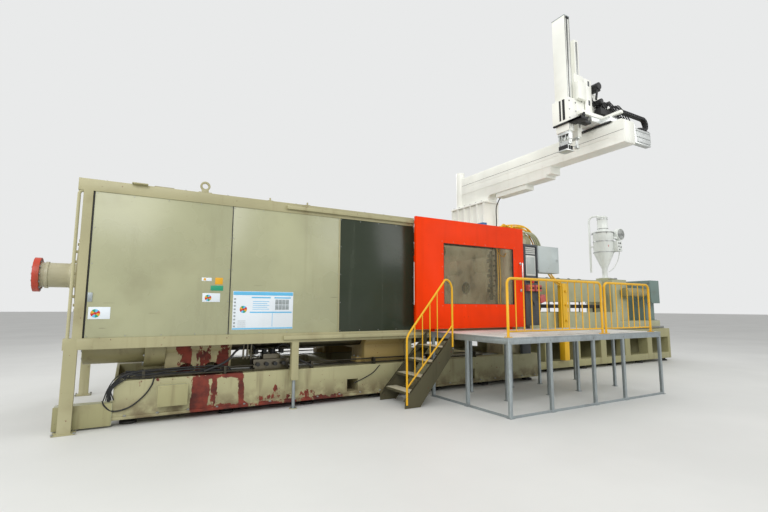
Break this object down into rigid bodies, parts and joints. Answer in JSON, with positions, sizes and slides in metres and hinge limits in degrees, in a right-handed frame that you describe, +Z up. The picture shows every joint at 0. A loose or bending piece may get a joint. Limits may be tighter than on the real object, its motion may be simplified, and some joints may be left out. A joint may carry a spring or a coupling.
{
  "type": "injection moulding machine",
  "caption": "Large plastic injection moulding machine with sliding orange safety door, covered clamp, take-out robot on a beam, dryer hopper, and operator platform with stair and railings.",
  "frame": {"origin": "on the floor, on the machine's centre line, in the plane of the fixed platen's mould face", "axes": "+X along the machine from the clamp towards the injection unit, -Y towards the operator, +Z up"},
  "size_m": [16.22, 5.8, 7.1],
  "materials": {
    "beige_paint": "satin, worn, with primer showing in patches",
    "frame_paint": "satin, chipped",
    "grey_paint": "glossy",
    "orange_paint": "glossy",
    "yellow_paint": "satin",
    "white_paint": "satin",
    "dark_paint": "satin",
    "tank_paint": "satin",
    "platen_iron": "machined faces, oily",
    "worn_iron": "paint and red primer, oily",
    "foot_iron": "matte",
    "ground_steel": "ground",
    "oily_steel": "oily",
    "chrome_steel": "polished",
    "galvanised_steel": "galvanised",
    "deck_plate": "dull",
    "arm_aluminium": "satin",
    "box_plastic": "matte",
    "red_plastic": "glossy",
    "chain_plastic": "matte",
    "hose_rubber": "satin",
    "window_pane": "clear, dusty",
    "screen_plastic": "satin"
  },
  "bodies": {
    "base": {"clamp_bed": "beige_paint", "injection_bed": "beige_paint", "machine_feet": "foot_iron", "bed_ways": "ground_steel", "fixed_platen": "platen_iron", "rear_platen": "worn_iron", "tie_bars": "oily_steel", "tie_bar_nuts": "beige_paint", "clamp_cylinder": "beige_paint", "booster_cylinder": "beige_paint", "jack_cylinders": "beige_paint", "cover_frame": "frame_paint", "front_covers": "beige_paint", "grey_cover": "grey_paint", "rear_covers": "beige_paint", "lifting_lugs": "frame_paint", "door_tracks": "galvanised_steel", "control_column": "dark_paint", "control_screen": "screen_plastic", "switch_boxes": "box_plastic", "side_cabinet": "white_paint", "robot_pedestal": "white_paint", "robot_beam": "white_paint", "platform_frame": "galvanised_steel", "platform_deck": "deck_plate", "railings": "yellow_paint", "stair": "beige_paint", "stair_handrail": "yellow_paint", "oil_tank": "tank_paint", "hoses": "hose_rubber"},
    "moving_platen": {"moving_platen": "worn_iron", "clamp_ram": "chrome_steel", "jack_rods": "chrome_steel"},
    "ejector": {"ejector_plate": "chrome_steel"},
    "front_door": {"front_door": "orange_paint", "front_window": "window_pane", "front_door_fittings": "arm_aluminium"},
    "rear_door": {"rear_door": "orange_paint", "rear_window": "window_pane"},
    "injection_unit": {"carriage": "beige_paint", "barrel": "ground_steel", "heater_bands": "ground_steel", "nozzle": "oily_steel", "injection_cylinders": "beige_paint", "hopper_body": "white_paint", "hopper_blower": "white_paint"},
    "screw_drive": {"drive_block": "tank_paint"},
    "screw": {"screw": "chrome_steel"},
    "hopper_lid": {"hopper_lid": "white_paint"},
    "slide_gate": {"slide_gate": "ground_steel"},
    "purge_guard": {"purge_guard": "yellow_paint"},
    "traverse": {"traverse_carriage": "arm_aluminium", "cable_chain": "chain_plastic"},
    "kick": {"kick_slide": "arm_aluminium"},
    "main_arm": {"main_arm": "white_paint"},
    "inner_arm": {"inner_arm": "arm_aluminium"},
    "wrist": {"wrist": "arm_aluminium"},
    "runner_arm": {"runner_arm": "white_paint"},
    "emergency_stop": {"emergency_stop": "red_plastic"},
    "cabinet_door": {"cabinet_door": "white_paint"}
  },
  "joints": [
    {"name": "clamp_slide", "type": "slide", "parent": "base", "child": "moving_platen", "axis": [1, 0, 0], "range_m": [-0.6, 1.25]},
    {"name": "ejector_slide", "type": "slide", "parent": "moving_platen", "child": "ejector", "axis": [1, 0, 0], "range_m": [0, 0.2]},
    {"name": "front_door_slide", "type": "slide", "parent": "base", "child": "front_door", "axis": [-1, 0, 0], "range_m": [0, 2.4]},
    {"name": "rear_door_slide", "type": "slide", "parent": "base", "child": "rear_door", "axis": [-1, 0, 0], "range_m": [0, 2.4]},
    {"name": "carriage_slide", "type": "slide", "parent": "base", "child": "injection_unit", "axis": [1, 0, 0], "range_m": [-0.05, 0.75]},
    {"name": "injection_slide", "type": "slide", "parent": "injection_unit", "child": "screw_drive", "axis": [1, 0, 0], "range_m": [0, 0.6]},
    {"name": "screw_spin", "type": "hinge", "parent": "screw_drive", "child": "screw", "pos_m": [0.7, 0, 2.1], "axis": [1, 0, 0], "continuous": true},
    {"name": "traverse_slide", "type": "slide", "parent": "base", "child": "traverse", "axis": [0, 1, 0], "range_m": [0, 3.35]},
    {"name": "kick_travel", "type": "slide", "parent": "traverse", "child": "kick", "axis": [-1, 0, 0], "range_m": [0, 0.25]},
    {"name": "main_lift", "type": "slide", "parent": "kick", "child": "main_arm", "axis": [0, 0, -1], "range_m": [0, 1.3]},
    {"name": "main_extend", "type": "slide", "parent": "main_arm", "child": "inner_arm", "axis": [0, 0, -1], "range_m": [0, 1.3]},
    {"name": "wrist_flip", "type": "hinge", "parent": "inner_arm", "child": "wrist", "pos_m": [-0.41, -3.36, 4.65], "axis": [0, 1, 0], "range_deg": [0, 90]},
    {"name": "runner_lift", "type": "slide", "parent": "kick", "child": "runner_arm", "axis": [0, 0, -1], "range_m": [0, 1.2]},
    {"name": "hopper_lid_hinge", "type": "hinge", "parent": "injection_unit", "child": "hopper_lid", "pos_m": [5.925, 0, 4.01], "axis": [0, 1, 0], "range_deg": [0, 75]},
    {"name": "gate_slide", "type": "slide", "parent": "injection_unit", "child": "slide_gate", "axis": [0, -1, 0], "range_m": [0, 0.24]},
    {"name": "purge_guard_hinge", "type": "hinge", "parent": "base", "child": "purge_guard", "pos_m": [0.79, 0.43, 2.5], "axis": [-1, 0, 0], "range_deg": [0, 80]},
    {"name": "emergency_stop_press", "type": "slide", "parent": "base", "child": "emergency_stop", "axis": [0, 1, 0], "range_m": [0, 0.006], "stiffness_N_per_m": 2000},
    {"name": "cabinet_door_hinge", "type": "hinge", "parent": "base", "child": "cabinet_door", "pos_m": [0.87, -1.51, 2.43], "axis": [0, 0, -1], "range_deg": [0, 110]}
  ],
  "couplings": [
    {"joint": "main_extend", "follows": "main_lift", "ratio": 1}
  ]
}
